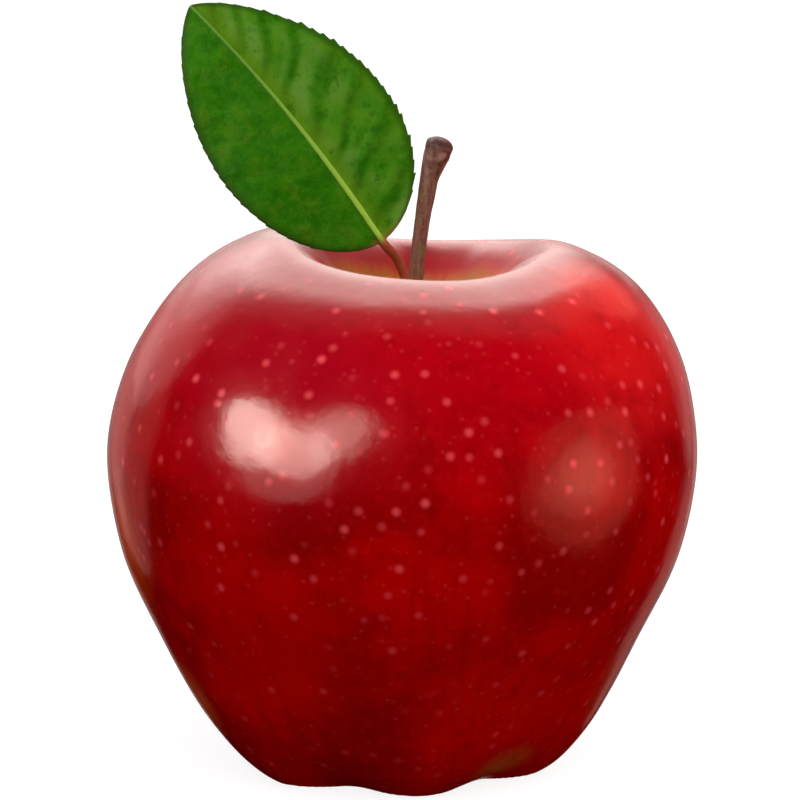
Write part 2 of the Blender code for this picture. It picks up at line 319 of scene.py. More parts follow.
# %% Curves and smooth steps
def smooth_curve(points, count):
    """count points, evenly spaced along a smooth curve through the given ones."""
    knots = np.array(points, float)
    chord = np.linalg.norm(np.diff(knots, axis=0), axis=1)
    at = np.concatenate([[0], np.cumsum(chord)])
    slope = np.gradient(knots, at, axis=0)
    fine = np.linspace(0, at[-1], 40 * len(knots))
    i = np.clip(np.searchsorted(at, fine, side="right") - 1, 0, len(chord) - 1)
    h = chord[i][:, None]
    t = ((fine - at[i]) / chord[i])[:, None]
    curve = (
        (2 * t**3 - 3 * t**2 + 1) * knots[i]
        + (t**3 - 2 * t**2 + t) * h * slope[i]
        + (3 * t**2 - 2 * t**3) * knots[i + 1]
        + (t**3 - t**2) * h * slope[i + 1]
    )
    along = np.concatenate([[0], np.cumsum(np.linalg.norm(np.diff(curve, axis=0), axis=1))])
    even = np.linspace(0, along[-1], count)
    return np.stack([np.interp(even, along, curve[:, k]) for k in range(curve.shape[1])], axis=1)


def smoothstep(low, high, value):
    """0 up to low, 1 from high on, and smooth between them."""
    t = np.clip((value - low) / (high - low), 0, 1)
    return t * t * (3 - 2 * t)


def noise_at(points, grain, seed=0.0):
    """Smooth noise from about -1 to 1 at each point, whose grain is about that long."""
    return np.array([noise.noise(Vector(p) / grain + Vector((seed, seed, seed))) for p in points])


print("a quarter of the way, a smooth step has reached", round(float(smoothstep(0, 1, 0.25)), 2))

# %% [markdown]
# The section is given in shares of the half width and of the height. It runs from the floor of the
# stem cavity over the shoulder, down the outside and over a foot, and up into the basin.

# %% The section
WIDTH = 76 * MM
HEIGHT = 67.9 * MM  # from the table to the mean height of the shoulder
SECTION = [
    (0.070, 0.838),
    (0.200, 0.880),
    (0.325, 0.948),
    (0.450, 0.994),
    (0.620, 0.970),
    (0.818, 0.882),
    (0.953, 0.750),
    (1.003, 0.612),
    (0.962, 0.438),
    (0.826, 0.262),
    (0.672, 0.108),
    (0.500, 0.032),
    (0.385, 0.014),
    (0.255, 0.050),
    (0.130, 0.096),
    (0.000, 0.106),
]
RINGS = 230

outline = smooth_curve(SECTION, RINGS) * [WIDTH / 2, HEIGHT]
cavity_floor = outline[0, 1]
print("the cavity is", round((outline[:, 1].max() - cavity_floor) / MM, 1), "mm deep")

# %% [markdown]
# The foot of the stem stands in a narrow socket, whose profile is given in shares of its radius and
# depth.

# %% The socket
SOCKET_RADIUS = 1.9 * MM
SOCKET_DEPTH = 2.2 * MM
SOCKET = [(0.0, 1.0), (0.6, 1.0), (0.85, 0.9), (1.0, 0.6), (1.0, 0.2)]

socket = [(wide * SOCKET_RADIUS, cavity_floor - deep * SOCKET_DEPTH) for wide, deep in SOCKET]
section = np.concatenate([socket, outline])
print("the section has", len(section), "points")

# %% [markdown]
# The lobes are five bumps round the core. Each one's direction is in degrees from the front, and its
# reach says how far its foot comes down to the table.

# %% Five lobes
LOBES = [(9, 2.0 * MM), (71, 2.2 * MM), (150, 2.2 * MM), (-129, 2.2 * MM), (-50, 2.2 * MM)]
LOBE_SHARPNESS = 12.0


def lobe_fields(angle):
    """How strongly the lobes show at an angle from the front, and how far they reach down."""
    rib = np.zeros_like(angle)
    reach = np.zeros_like(angle)
    for direction, drop in LOBES:
        bump = np.exp(LOBE_SHARPNESS * (np.cos(angle - math.radians(direction)) - 1))
        rib += bump
        reach += drop * bump
    return rib, reach


ribs = lobe_fields(np.radians(np.arange(360.0)))[0]
print("a lobe shows", round(float(ribs.max()), 2), "and the deepest furrow", round(float(ribs.min()), 2))

# %% [markdown]
# The lobes show most at the foot and not at the core, where the fruit stays round. Their mean is
# taken off, so that they don't widen it.

# %% How the fruit grew
RIB_AT_FOOT = 1.8 * MM
RIB_AT_SHOULDER = 0.7 * MM
RIB_MEAN = 0.6
RIB_FADE = 1.5
FOOT_RIBS_END = 0.38 * HEIGHT
REACH_END = 0.16 * HEIGHT
SHOULDER_FROM = 0.45 * HEIGHT
SHOULDER_FULL = 0.95 * HEIGHT
CORE_ROUND = 0.05 * WIDTH
CORE_END = 0.17 * WIDTH
SADDLE = 1.5 * MM
FRONT_FLAT = 0.1
LEFT_RISE = 0.9 * MM
LEAN_TOP = 1.6 * MM
LEAN_BASE = -0.6 * MM
LEAN_TURN = 0.6 * HEIGHT


def grown(points):
    """Moves the points of the turned fruit to where the real, uneven fruit has them."""
    x, y, z = points.T
    radius = np.hypot(x, y)
    angle = np.arctan2(x, -y)
    rib, reach = lobe_fields(angle)
    near_base = 1 - smoothstep(0.0, FOOT_RIBS_END, z)
    near_top = smoothstep(SHOULDER_FROM, SHOULDER_FULL, z)
    off_core = smoothstep(CORE_ROUND, CORE_END, radius)
    ribbed = RIB_AT_FOOT * near_base**RIB_FADE + RIB_AT_SHOULDER * near_top
    radius_now = radius + ribbed * (rib - RIB_MEAN) * off_core
    foot = (1 - smoothstep(0.0, REACH_END, z)) * off_core
    z_now = z - reach * foot
    sideways = -np.cos(2 * angle) - FRONT_FLAT * (1 - np.cos(4 * angle)) * (1 + np.cos(angle))
    z_now += (SADDLE * sideways - LEFT_RISE * np.sin(angle)) * near_top * off_core
    lean = LEAN_BASE * (1 - smoothstep(0.0, LEAN_TURN, z))
    lean += LEAN_TOP * smoothstep(LEAN_TURN, HEIGHT, z)
    x_now = radius_now * np.sin(angle) + lean
    y_now = -radius_now * np.cos(angle)
    return np.stack([x_now, y_now, np.maximum(z_now, 0.0)], axis=1)


print("the shoulder rises", round((SADDLE + LEFT_RISE) / MM, 1), "mm at the left")

# %% [markdown]
# Every piece starts as points and faces. The skin's are rings, closed by a point at each end. A mesh
# can also keep a number for each of its points, which the material reads.


# %% Turning a profile and making a piece
def turned(profile, sides):
    """The points and faces of a profile turned round the core, whose two ends are on the core."""
    turn = np.arange(sides) * 2 * math.pi / sides
    body = profile[1:-1]
    right = np.outer(body[:, 0], np.sin(turn))
    back = -np.outer(body[:, 0], np.cos(turn))
    up = np.repeat(body[:, 1:], sides, axis=1)
    rings = np.stack([right, back, up], axis=2).reshape(-1, 3)
    points = np.concatenate([rings, [[0, 0, profile[0, 1]], [0, 0, profile[-1, 1]]]])
    faces = []
    first, last = len(rings), len(rings) + 1
    end = (len(body) - 1) * sides
    for j in range(sides):
        k = (j + 1) % sides
        faces.append((first, k, j))
        faces.append((last, end + j, end + k))
        faces += [(i + j, i + k, i + sides + k, i + sides + j) for i in range(0, end, sides)]
    return points, faces


def new_piece(name, points, faces):
    """An object with that mesh, shaded smooth, with every face turned outwards."""
    mesh = bpy.data.meshes.new(name)
    mesh.from_pydata(points.tolist(), [], faces)
    mesh.calc_loop_triangles()
    corners = np.array([points[list(t.vertices)] for t in mesh.loop_triangles])
    if np.linalg.det(corners - points.mean(axis=0)).sum() < 0:
        mesh.flip_normals()
    mesh.shade_smooth()
    piece = bpy.data.objects.new(name, mesh)
    bpy.context.scene.collection.objects.link(piece)
    return piece


def note(piece, name, values):
    """Keeps one number for each point of the mesh, for its material to read."""
    layer = piece.data.attributes.new(name, "FLOAT", "POINT")
    layer.data.foreach_set("value", np.asarray(values, np.float32))


SIDES = 360
points, faces = turned(section, SIDES)
radius = np.hypot(points[:, 0], points[:, 1])
angle = np.arctan2(points[:, 0], -points[:, 1])
print("the turned fruit reaches", round(radius.max() / MM, 1), "mm from its core")

# %% [markdown]
# How deep a point lies in the cavity or the basin runs from 1 near the core to 0 at the rim. It is
# measured before the fruit grows uneven.

# %% The cavity and the basin
CAVITY_FULL = 0.10 * WIDTH
CAVITY_RIM = 0.235 * WIDTH
BASIN_FULL = 0.05 * WIDTH
BASIN_RIM = 0.20 * WIDTH

upper = points[:, 2] > SHOULDER_FROM
cavity = np.where(upper, 1 - smoothstep(CAVITY_FULL, CAVITY_RIM, radius), 0)
basin = np.where(upper, 0, 1 - smoothstep(BASIN_FULL, BASIN_RIM, radius))
points = grown(points)
print("points in the cavity:", int((cavity > 0).sum()), "and in the basin:", int((basin > 0).sum()))

# %% [markdown]
# Two things are too small for the solid model: the folds that run out of the cavity and the basin,
# which are waves round the core that slow noise makes wander, and a gentle unevenness that keeps
# reflections from looking machined.

# %% The fine skin
CAVITY_FOLD = 0.35 * MM
BASIN_FOLD = 0.45 * MM
UNEVEN = 0.16 * MM

wander = noise_at(points, 9 * MM, 3.0)
folds = np.cos(5 * angle + 0.6 + wander) + 0.6 * np.cos(11 * angle + 2.0 * wander)
in_cavity = cavity * (1 - cavity) * 4 * smoothstep(2.2 * MM, 5 * MM, radius)
in_basin = basin * smoothstep(2.5 * MM, 6 * MM, radius) * (1 - smoothstep(9 * MM, 14 * MM, radius))
puckers = np.cos(5 * (angle - math.radians(20))) + 0.5 * np.cos(15 * angle + wander)
lift = UNEVEN * (noise_at(points, 17 * MM) + 0.4 * noise_at(points, 7 * MM, 8.0))
lift *= smoothstep(4 * MM, 12 * MM, radius) * smoothstep(0.3 * MM, 4 * MM, points[:, 2])
points[:, 2] += in_cavity * CAVITY_FOLD * folds - in_basin * BASIN_FOLD * puckers
outward = np.stack([np.sin(angle), -np.cos(angle), 0 * angle], axis=1)
points += outward * lift[:, None]
points[:, 2] = np.maximum(points[:, 2], 0)

fruit = new_piece("apple_skin", points, faces)
note(fruit, "cavity", cavity)
note(fruit, "basin", basin)
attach(fruit, "root")
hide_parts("fruit")
print("the skin has", len(faces), "faces and swells or sinks by", round(np.abs(lift).max() / MM, 2), "mm")

# %% [markdown]
# ## The skin's finish
#
# Apple skin is a thin clear cuticle of wax over cells full of red pigment. To the eye that is a deep,
# even red under a soft gloss, which whitens at glancing angles. The red isn't painted evenly: it lies
# in fine streaks from stem to flower end, in broader clouds and in small mottling. The streaks are
# noise that is stretched upwards: it is read from how far round and how far up a point is.

# %% The patterns of the red
STREAK_WIDTH = 2.2  # millimetres, round the widest part
STREAK_LENGTH = 22.0
CLOUD_SIZE = 19.0
MOTTLE_SIZE = 4.5
FLECK_SIZE = 1.3

skin, tree, shader = new_material("waxed_apple_skin", roughness=0.22, ior=1.45)
place = millimetres(tree)
height = add(tree, "SeparateXYZ", {0: place}).outputs["Z"]
flat = add(tree, "VectorMath", {0: place, 1: (1, 1, 0)}, operation="MULTIPLY").outputs[0]
heading = add(tree, "VectorMath", {0: flat}, operation="NORMALIZE").outputs[0]
upwards = (0, 0, STREAK_WIDTH / STREAK_LENGTH)
drawn_out = add(tree, "VectorMath", {0: place, 1: upwards}, operation="MULTIPLY").outputs[0]
inputs = {0: heading, 1: (WIDTH / MM / 2,) * 3, 2: drawn_out}
round_and_up = add(tree, "VectorMath", inputs, operation="MULTIPLY_ADD").outputs[0]

patterns = []
for where, size, detail, rough in (
    (round_and_up, STREAK_WIDTH, 4.0, 0.6),
    (place, CLOUD_SIZE, 3.0, 0.5),
    (place, MOTTLE_SIZE, 5.0, 0.65),
    (place, FLECK_SIZE, 2.0, 0.5),
):
    inputs = {"Vector": where, "Scale": 1 / size, "Detail": detail, "Roughness": rough}
    patterns.append(add(tree, "TexNoise", inputs).outputs[0])
streaks, clouds, mottle, flecks = patterns
print("a streak is", STREAK_WIDTH, "by", STREAK_LENGTH, "mm")

# %% [markdown]
# The clouds give the base red. It turns towards rose up the side and darker on the shoulder, and
# streaks, mottling and flecks break it up.

# %% Layers of red
red = lay(tree, "#9c0000", "#cc0000", (clouds, 0.38, 0.62))
red = lay(tree, red, "#bc0014", (height, 34.0, 58.0, 0.0, 0.8))
red = lay(tree, red, "#8c0000", (streaks, 0.42, 0.72, 0.0, 0.28), (height, 60.0, 48.0))
red = lay(tree, red, "#900010", (height, 58.0, 67.0, 0.0, 0.9))
red = lay(tree, red, "#800004", (mottle, 0.50, 0.68, 0.0, 0.30))
red = lay(tree, red, "#d8181c", (flecks, 0.52, 0.72, 0.0, 0.16))
print("the red has", len(tree.nodes), "nodes")

# %% [markdown]
# In a few patches the red is warmed towards orange, and others make it a fresher or deeper red. One,
# on the right shoulder, is a painted pool of light: a brighter red where the key panel's light falls.
# Each is a soft ball round a point near the skin, broken up by the mottling.

# %% Patches and a painted pool of light
PATCHES_AND_PAINTED_LIGHT = [  # the centre and the reach in millimetres, the strength and the colour
    ((-35.5, -7.0, 31.0), 13.0, 0.80, "#ff5a14"),
    ((-25.0, -8.0, 11.0), 9.0, 0.85, "#f06030"),
    ((14.0, -19.0, 1.5), 6.5, 0.55, "#c0601c"),
    ((27.0, -9.0, 14.0), 9.0, 0.40, "#b03c18"),
    # painted light: a pool of brighter red on the right shoulder, under the key panel
    ((27.0, -16.0, 57.5), 17.0, 0.65, "#ec1c1c"),
    ((-15.0, -28.0, 52.0), 20.0, 0.60, "#a4001c"),
    ((-14.0, -28.0, 24.0), 15.0, 0.60, "#d40000"),
]
PATCH_CORE = 0.35  # the share of the reach in which it is at full strength

broken = fade(tree, (mottle, 0.68, 0.42, 0.55, 1.0))
for centre, reach, most, colour in PATCHES_AND_PAINTED_LIGHT:
    far = add(tree, "VectorMath", {0: place, 1: centre}, operation="DISTANCE").outputs["Value"]
    red = lay(tree, red, colour, (far, PATCH_CORE * reach, reach, most, 0.0), broken)
print("there are", len(PATCHES_AND_PAINTED_LIGHT), "patches")

# %% [markdown]
# In the cavity the red gives way to orange and then to russet, a thin dry cork that spreads out along
# the streaks in a ragged star. The basin keeps the yellow-brown ground, ragged in the same way.

# %% The cavity's russet and the basin's ground
depth = add(tree, "Attribute", attribute_name="cavity").outputs["Fac"]
red = lay(tree, red, "#cc4c22", (depth, 0.40, 0.95, 0.0, 0.9))
russet = lay(tree, "#d08a34", "#b48c34", (mottle, 0.35, 0.65))
russet = lay(tree, russet, "#8f6228", (streaks, 0.40, 0.65, 0.0, 0.5))
ragged = add(tree, "Math", {0: streaks, 1: 0.5, 2: depth}, operation="MULTIPLY_ADD").outputs[0]
red = lay(tree, red, russet, (ragged, 0.78, 1.20, 0.0, 0.95))
pit = add(tree, "Attribute", attribute_name="basin").outputs["Fac"]
ragged = add(tree, "Math", {0: streaks, 1: 0.6, 2: pit}, operation="MULTIPLY_ADD").outputs[0]
red = lay(tree, red, "#a8862e", (ragged, 0.45, 1.15, 0.0, 0.85))
print("the skin's colour has", len(tree.nodes), "nodes")

# %% [markdown]
# The pale dots are lenticels, the pores through which the fruit breathes, 0.5 to 0.9 mm across. They
# could be a scatter of little discs, but cells of noise give each its own size and strength at no
# cost: a dot shows where the skin passes close to a cell's point. The cells are 3.1 mm wide. Cells of
# 1.9 mm add small, faint dots, and all are fainter near the foot.

# %% Lenticels
LENTICEL_SPACING = 3.1  # millimetres
LENTICEL_RADIUS = 0.90
PORE_SPACING = 1.9

inputs = {"Vector": place, "Scale": 1 / LENTICEL_SPACING, "Randomness": 0.9}
cells = add(tree, "TexVoronoi", inputs)
strength = add(tree, "SeparateColor", {0: cells.outputs["Color"]}).outputs[0]
near = (cells.outputs["Distance"], 0.0, LENTICEL_RADIUS / LENTICEL_SPACING, 1.0, 0.0)
dots = fade(tree, near, (strength, 0.0, 0.75, 0.25, 1.0), (height, 8.0, 46.0, 0.22, 0.90))
small = add(tree, "TexVoronoi", {"Vector": place, "Scale": 1 / PORE_SPACING, "Randomness": 1.0})
faint = fade(tree, (small.outputs["Distance"], 0.0, 0.24, 0.15, 0.0))
dots = add(tree, "Math", {0: dots, 1: faint}, operation="MAXIMUM").outputs[0]
dots = fade(tree, dots, (depth, 0.1, 0.6, 1.0, 0.0))
tree.links.new(lay(tree, red, "#ff5058", dots), shader.inputs["Base Color"])
print("a lenticel fades out", LENTICEL_RADIUS, "mm from its middle")

# %% [markdown]
# The wax is not evenly smooth. Its roughness wanders a little, the dots are dull, the cavity is dry,
# and bloom makes the shoulder slightly duller. The surface has a fine dimpling of about 2 mm, which
# softens the edges of reflections.

# %% Wax
WAX_PATCH = 5.0  # millimetres
DIMPLE_SIZE = 2.0
DIMPLE_DEPTH = 0.055 * MM

wander = add(tree, "TexNoise", {"Vector": place, "Scale": 1 / WAX_PATCH, "Detail": 3.0}).outputs[0]
rough = fade(tree, (wander, 0.3, 0.7, 0.14, 0.19))
bloom = fade(tree, (height, 52.0, 64.0, 0.0, 0.08))
dry_cavity = fade(tree, (depth, 0.0, 0.5, 0.0, 0.35))
rough = add(tree, "Math", {0: rough, 1: bloom}, operation="ADD").outputs[0]
rough = add(tree, "Math", {0: rough, 1: dry_cavity}, operation="ADD").outputs[0]
rough = add(tree, "Math", {0: dots, 1: 0.08, 2: rough}, operation="MULTIPLY_ADD").outputs[0]
tree.links.new(rough, shader.inputs["Roughness"])
dimples = add(tree, "TexNoise", {"Vector": place, "Scale": 1 / DIMPLE_SIZE, "Detail": 3.0}).outputs[0]
relief = add(tree, "Math", {0: dots, 1: 0.6, 2: dimples}, operation="MULTIPLY_ADD").outputs[0]
bump = add(tree, "Bump", {"Height": relief, "Strength": 0.7, "Distance": DIMPLE_DEPTH})
tree.links.new(bump.outputs[0], shader.inputs["Normal"])
fruit.data.materials.append(skin)
print("the skin has", len(tree.nodes), "nodes")

# %% [markdown]
# ## The stem
#
# The stem is a woody stalk. It ends in a swollen knob with a scar, where it let go of the spur, and it
# stands in a narrow socket at the floor of the cavity. A curve object with a bevel would give a smooth
# tube, but bark needs ridges, so rings of points are placed along the route and each point is pushed
# in or out. A dome of shrinking rings rounds each end.


# %% A tube along a route
DOME = 0.6  # the height of a rounded end beside its radius


def tube(route, count, sides, bark=None):
    """Points and faces of a closed tube along (x, y, z, radius) points. bark(points, share) gives each
    point's push outwards."""
    line = smooth_curve(route, count)
    centres, radii = line[:, :3], line[:, 3]
    ahead = np.gradient(centres, axis=0)
    ahead /= np.linalg.norm(ahead, axis=1)[:, None]
    dome = np.linspace(0, 0.5 * math.pi, 9)[1:-1]
    first = [centres[0] - ahead[0] * radii[0] * DOME * math.cos(t) for t in dome]
    last = [centres[-1] + ahead[-1] * radii[-1] * DOME * math.sin(t) for t in dome]
    centres = np.concatenate([first, centres, last])
    radii = np.concatenate([radii[0] * np.sin(dome), radii, radii[-1] * np.cos(dome)])
    ahead = np.concatenate([[ahead[0]] * len(dome), ahead, [ahead[-1]] * len(dome)])
    side = np.cross(ahead, [0.0, 1.0, 0.0])
    side /= np.linalg.norm(side, axis=1)[:, None]
    other = np.cross(ahead, side)
    turn = np.arange(sides) * 2 * math.pi / sides
    away = side[:, None] * np.cos(turn)[None, :, None] + other[:, None] * np.sin(turn)[None, :, None]
    points = (centres[:, None] + away * radii[:, None, None]).reshape(-1, 3)
    if bark is not None:
        share = np.repeat(np.linspace(0, 1, len(centres)), sides)
        full = np.repeat(radii / line[:, 3].mean(), sides)
        points += away.reshape(-1, 3) * (bark(points, share) * np.minimum(full, 1))[:, None]
    faces = []
    end = (len(centres) - 1) * sides
    for j in range(sides):
        k = (j + 1) % sides
        faces += [(i + j, i + k, i + sides + k, i + sides + j) for i in range(0, end, sides)]
    faces.append(tuple(range(sides - 1, -1, -1)))
    faces.append(tuple(range(end, end + sides)))
    return points, faces


print("a rounded end is", DOME, "of its radius high")

# %% [markdown]
# The route is the solid model's. The bark pushes out in long ridges with the grain, in small
# lenticels, and in the rim of the knob. The stem is kept out of reflections, as the leaf is later: the
# skin is too uneven to show their mirror images clearly.

# %% The stem's shape
STEM_ROUTE = [  # x, y, z and radius in millimetres, from the socket to the swollen end
    (0.82, 0.0, 55.3, 1.30),
    (1.05, 0.0, 58.6, 1.15),
    (1.70, 0.0, 63.4, 1.00),
    (2.25, -0.1, 68.6, 0.95),
    (2.95, -0.3, 73.6, 1.05),
    (3.80, -0.5, 77.8, 1.35),
    (4.45, -0.8, 79.8, 1.70),
    (4.80, -0.95, 80.9, 1.78),
]
GRAIN = np.array([1.0, 1.0, 0.12])
RIDGE = 0.085 * MM
KNOT = 0.25 * MM
RIM = 0.15 * MM
RIM_AT = 0.90  # the share of the way up
RIM_REACH = 0.035


def stem_bark(points, share):
    """How far the bark stands out at each point of the stem."""
    ridges = noise_at(points * GRAIN, 0.55 * MM) + 0.5 * noise_at(points * GRAIN, 0.25 * MM, 5.0)
    knots = np.maximum(noise_at(points, 1.1 * MM, 9.0) - 0.35, 0)
    rim = np.exp(-(((share - RIM_AT) / RIM_REACH) ** 2)) * noise_at(points, 1.0 * MM, 2.0)
    return RIDGE * ridges + KNOT * knots + RIM * rim


points, faces = tube(np.array(STEM_ROUTE) * MM, 170, 56, stem_bark)
stem = new_piece("woody_stem", points, faces)
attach(stem, "root")
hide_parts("stem")
stem.visible_glossy = False
print("the stem is", round((points[:, 2].max() - points[:, 2].min()) / MM, 1), "mm tall")

# %% [markdown]
# Young bark is dry cork over green tissue: dull, grey-brown, with reddish and olive streaks along the
# grain. It is darkest at the scar on top, and where it grows out of the fruit it keeps a yellow-brown.
# A pale pink spot on the front of the knob is a painted highlight.

# %% Bark
# where a pale pink highlight is painted on the front of the knob
PAINTED_HIGHLIGHT_SPOT = (5.2, -2.6, 79.6)  # millimetres

bark, tree, shader = new_material("young_bark", roughness=0.62, ior=1.50)
place = millimetres(tree)
height = add(tree, "SeparateXYZ", {0: place}).outputs["Z"]
grain = add(tree, "VectorMath", {0: place, 1: tuple(GRAIN)}, operation="MULTIPLY").outputs[0]
inputs = {"Vector": grain, "Scale": 1 / 0.7, "Detail": 5.0, "Roughness": 0.65}
streaks = add(tree, "TexNoise", inputs).outputs[0]
patches = add(tree, "TexNoise", {"Vector": place, "Scale": 1 / 3.0, "Detail": 3.0}).outputs[0]
specks = add(tree, "TexNoise", {"Vector": place, "Scale": 1 / 0.35, "Detail": 2.0}).outputs[0]
from_painted_highlight = add(tree, "VectorMath", {0: place, 1: PAINTED_HIGHLIGHT_SPOT}, operation="DISTANCE").outputs["Value"]

brown = lay(tree, "#643428", "#946c5c", (streaks, 0.35, 0.65))
brown = lay(tree, brown, "#7c6a38", (patches, 0.50, 0.66, 0.0, 0.6))
brown = lay(tree, brown, "#b39a90", (specks, 0.55, 0.75, 0.0, 0.35))
brown = lay(tree, brown, "#8a5526", (height, 67.0, 60.0, 0.0, 0.75))
brown = lay(tree, brown, "#341412", (height, 79.8, 81.4, 0.0, 0.92))
# painted highlight: a pale pink spot on the front of the knob
brown = lay(tree, brown, "#b88478", (from_painted_highlight, 0.35, 0.75, 0.8, 0.0))
tree.links.new(brown, shader.inputs["Base Color"])
relief = add(tree, "Math", {0: streaks, 1: specks}, operation="ADD").outputs[0]
bump = add(tree, "Bump", {"Height": relief, "Strength": 0.6, "Distance": 0.08 * MM})
tree.links.new(bump.outputs[0], shader.inputs["Normal"])
tree.links.new(fade(tree, (streaks, 0.3, 0.7, 0.5, 0.75)), shader.inputs["Roughness"])
stem.data.materials.append(bark)
print("the bark has", len(tree.nodes), "nodes")

# %% [markdown]
# ## The leaf
#
# The leaf is a blade with a stout midrib, side veins that run out to a finely toothed margin, and a
# stalk. A flat cut-out with a bump map would look like paper, so the blade is a closed sheet of its
# own thickness, in which the veins are pressed in above and stand out below, and the green between
# them swells like a quilt. Its frame and outline are the solid model's: along the midrib, across it,
# and out of its upper face.

# %% The blade's frame and outline
LEAF_LENGTH = 39.0 * MM
LEAF_WIDTH = 23.7 * MM
LEAF_BASE = Vector((-2.5, -5.2, 69.1)) * MM
LEAF_ALONG = Vector((-0.63, 0.19, 0.752)).normalized()
LEAF_FACE = Vector((0.03, -0.94, 0.34))
LEAF_BOW = 1.6 * MM
LEAF_SWEEP = 0.8 * MM
LEAF_FOLD = 0.10
STEM_HALF = (0.50, 0.75)
OUTER_HALF = (0.62, 0.78)

leaf_across = LEAF_ALONG.cross(LEAF_FACE).normalized()
leaf_out = leaf_across.cross(LEAF_ALONG)
leaf_frame = np.array([LEAF_ALONG, leaf_across, leaf_out])


def half_width(u, shape):
    """How wide one half is at u, from 0 at the base to 1 at the tip. The shape is two powers."""
    start, end = shape
    widest = start / (start + end)
    peak = widest**start * (1 - widest) ** end
    return LEAF_WIDTH / 2 * u**start * (1 - u) ** end / peak


def half_width_at(u, v):
    """How wide the half is on which v lies."""
    return np.where(v > 0, half_width(u, STEM_HALF), half_width(u, OUTER_HALF))


print("the blade leans", round(math.degrees(LEAF_ALONG.angle(Vector((0, 0, 1))))), "degrees from upright")

# %% [markdown]
# Apple leaves have a tooth every 1 to 2 mm, which points to the tip. Each tooth rises slowly along the
# margin and drops sharply, and no two are alike. The side veins leave the midrib every 4.6 mm, bend
# towards the tip and fan out on their way to the margin.

# %% Teeth and veins
TOOTH = 1.6 * MM
TOOTH_DEPTH = 0.36 * MM
MARGIN_LENGTH = 1.12 * LEAF_LENGTH
OUTER_TEETH = 0.45  # how large they are beside those on the stem's side
VEIN_SPACING = 4.6 * MM
VEIN_LEAN_AT_BASE = 0.3
VEIN_LEAN_GAIN = 1.2
tooth_size = np.random.default_rng(7).uniform(0.35, 1.25, 64)


def teeth(u, v):
    """How far the margin stands out at u, on the side of v."""
    turn = u * MARGIN_LENGTH / TOOTH + np.where(v > 0, 0.0, 0.4)
    number = np.floor(turn).astype(int) + np.where(v > 0, 0, 31)
    ends = smoothstep(0.0, 0.12, u) * (1 - smoothstep(0.90, 0.99, u))
    strength = np.where(v > 0, 1.0, OUTER_TEETH)
    return TOOTH_DEPTH * tooth_size[number] * (turn % 1.0) ** 1.3 * ends * strength


def vein_turn(along, side):
    """Counts the side veins: a whole number lies on a vein, and a half between two."""
    far = np.abs(side)
    start = (along - VEIN_LEAN_AT_BASE * far) / (1 + VEIN_LEAN_GAIN * far / LEAF_LENGTH)
    return start / VEIN_SPACING + np.where(side > 0, 0.15, 0.6)


print("each side has about", round(MARGIN_LENGTH / TOOTH), "teeth")

# %% [markdown]
# The sheet's two faces are grids of the same points, joined round the margin. The rows are closer at
# the base and the tip, and the columns are closer at the midrib, where the shape is finest.

# %% The blade's grid
ROWS = 260
COLUMNS = 97
step = np.linspace(0, 1, ROWS)
rows = 0.0006 + 0.9988 * (0.6 * step + 0.4 * (0.5 - 0.5 * np.cos(math.pi * step)))
spread = np.linspace(-1, 1, COLUMNS)
columns = np.sign(spread) * np.abs(spread) ** 1.25
u, v = [grid.ravel() for grid in np.meshgrid(rows, columns, indexing="ij")]

margin = np.clip((np.abs(v) - 0.8) / 0.2, 0, 1)
side = half_width_at(u, v) * v + np.sign(v) * teeth(u, v) * margin**2
along = LEAF_LENGTH * u
arch = 4 * u * (1 - u)
print("the blade is", round((side.max() - side.min()) / MM, 1), "mm wide")

# %% [markdown]
# The green between two veins swells, most on the half beside the stem, and noise makes every swelling
# different. A slow wave lifts the margin, and a ripple wrinkles the face.

# %% The blade's relief
BLADE_THICKNESS = 0.34 * MM
QUILT = 0.42 * MM
WAVE = 0.5 * MM
RIPPLE = 0.10 * MM
RIB_WIDTH = 0.55 * MM
RIB_NARROWS = 0.35 * MM
RIB_ABOVE = 0.20 * MM
RIB_BELOW = 0.55 * MM
VEIN_BELOW = 0.12 * MM

turns = vein_turn(along, side)
off_midrib = smoothstep(0.6 * MM, 3.0 * MM, np.abs(side))
inside = 1 - smoothstep(0.80, 1.0, np.abs(v))
local = np.stack([along, side, 0 * u], axis=1)
swell = np.abs(np.sin(math.pi * turns)) ** 0.8 * off_midrib * (0.35 + 0.65 * inside)
swell *= 0.6 + 0.8 * noise_at(local, 7 * MM, 2.0)
swell *= np.where(side > 0, 1.15, 0.40) * smoothstep(0.0, 0.12, u) * (1 - smoothstep(0.8, 1.0, u))
wave = WAVE * noise_at(local, 9 * MM, 4.0) * np.abs(v) ** 2
ripple = RIPPLE * noise_at(local, 1.6 * MM, 6.0) * off_midrib * inside
ridge = np.exp(-((side / (RIB_WIDTH - RIB_NARROWS * u)) ** 2)) * (1 - 0.6 * u)
veins = np.exp(-(((turns - np.round(turns)) / 0.07) ** 2)) * off_midrib * inside

middle = LEAF_BOW * arch - LEAF_FOLD * (np.hypot(side, MM) - MM) + wave
thickness = BLADE_THICKNESS * (0.35 + 0.65 * np.sqrt(np.clip(1 - np.abs(v) ** 6, 0, 1)))
above = middle + thickness / 2 + QUILT * swell + ripple + RIB_ABOVE * ridge
below = middle - thickness / 2 + 0.8 * QUILT * swell - VEIN_BELOW * veins - RIB_BELOW * ridge
print("the quilt rises up to", round(float((QUILT * swell).max() / MM), 2), "mm")

# %% [markdown]
# The two faces are joined by a row of narrow faces all round their edge.


